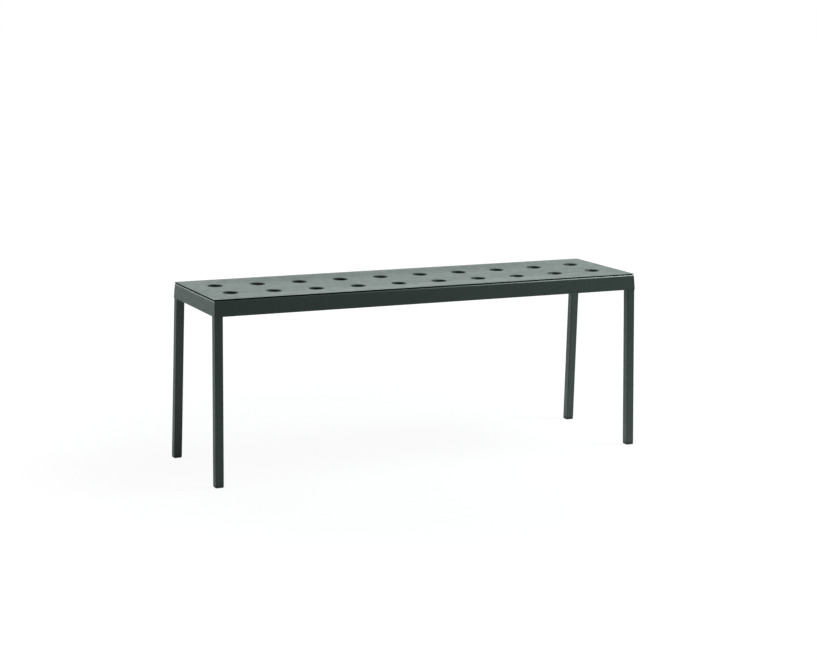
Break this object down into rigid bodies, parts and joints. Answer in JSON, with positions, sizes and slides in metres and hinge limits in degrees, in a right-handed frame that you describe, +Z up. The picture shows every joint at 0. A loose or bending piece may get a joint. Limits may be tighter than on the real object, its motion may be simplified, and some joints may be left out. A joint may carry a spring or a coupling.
{
  "type": "backless bench",
  "caption": "Low backless bench: a long steel seat plate with rows of round holes on a folded skirt frame and splayed square legs with plastic foot glides.",
  "frame": {"origin": "on the floor under the middle of the seat", "axes": "+X along the seat's length, +Y to the back, +Z up"},
  "size_m": [1.1616, 0.3284, 0.45],
  "materials": {
    "coated_steel": "matt dark green powder coat with a fine orange-peel texture",
    "foot_plastic": "black moulded plastic",
    "zinc_steel": "bright zinc plate"
  },
  "bodies": {
    "root": {"seat_plate": "coated_steel", "rail_front": "coated_steel", "rail_back": "coated_steel", "rail_left": "coated_steel", "rail_right": "coated_steel", "leg_front_left": "coated_steel", "corner_gusset_front_left": "coated_steel", "leg_back_left": "coated_steel", "corner_gusset_back_left": "coated_steel", "leg_front_right": "coated_steel", "corner_gusset_front_right": "coated_steel", "leg_back_right": "coated_steel", "corner_gusset_back_right": "coated_steel", "cross_member_left": "coated_steel", "cross_member_centre": "coated_steel", "cross_member_right": "coated_steel", "foot_glide_front_left": "foot_plastic", "foot_glide_back_left": "foot_plastic", "foot_glide_front_right": "foot_plastic", "foot_glide_back_right": "foot_plastic", "seat_stud_left_front": "zinc_steel", "seat_stud_left_back": "zinc_steel", "seat_stud_centre_front": "zinc_steel", "seat_stud_centre_back": "zinc_steel", "seat_stud_right_front": "zinc_steel", "seat_stud_right_back": "zinc_steel", "stud_nut_left_front": "zinc_steel", "stud_nut_left_back": "zinc_steel", "stud_nut_centre_front": "zinc_steel", "stud_nut_centre_back": "zinc_steel", "stud_nut_right_front": "zinc_steel", "stud_nut_right_back": "zinc_steel"}
  },
  "joints": []
}
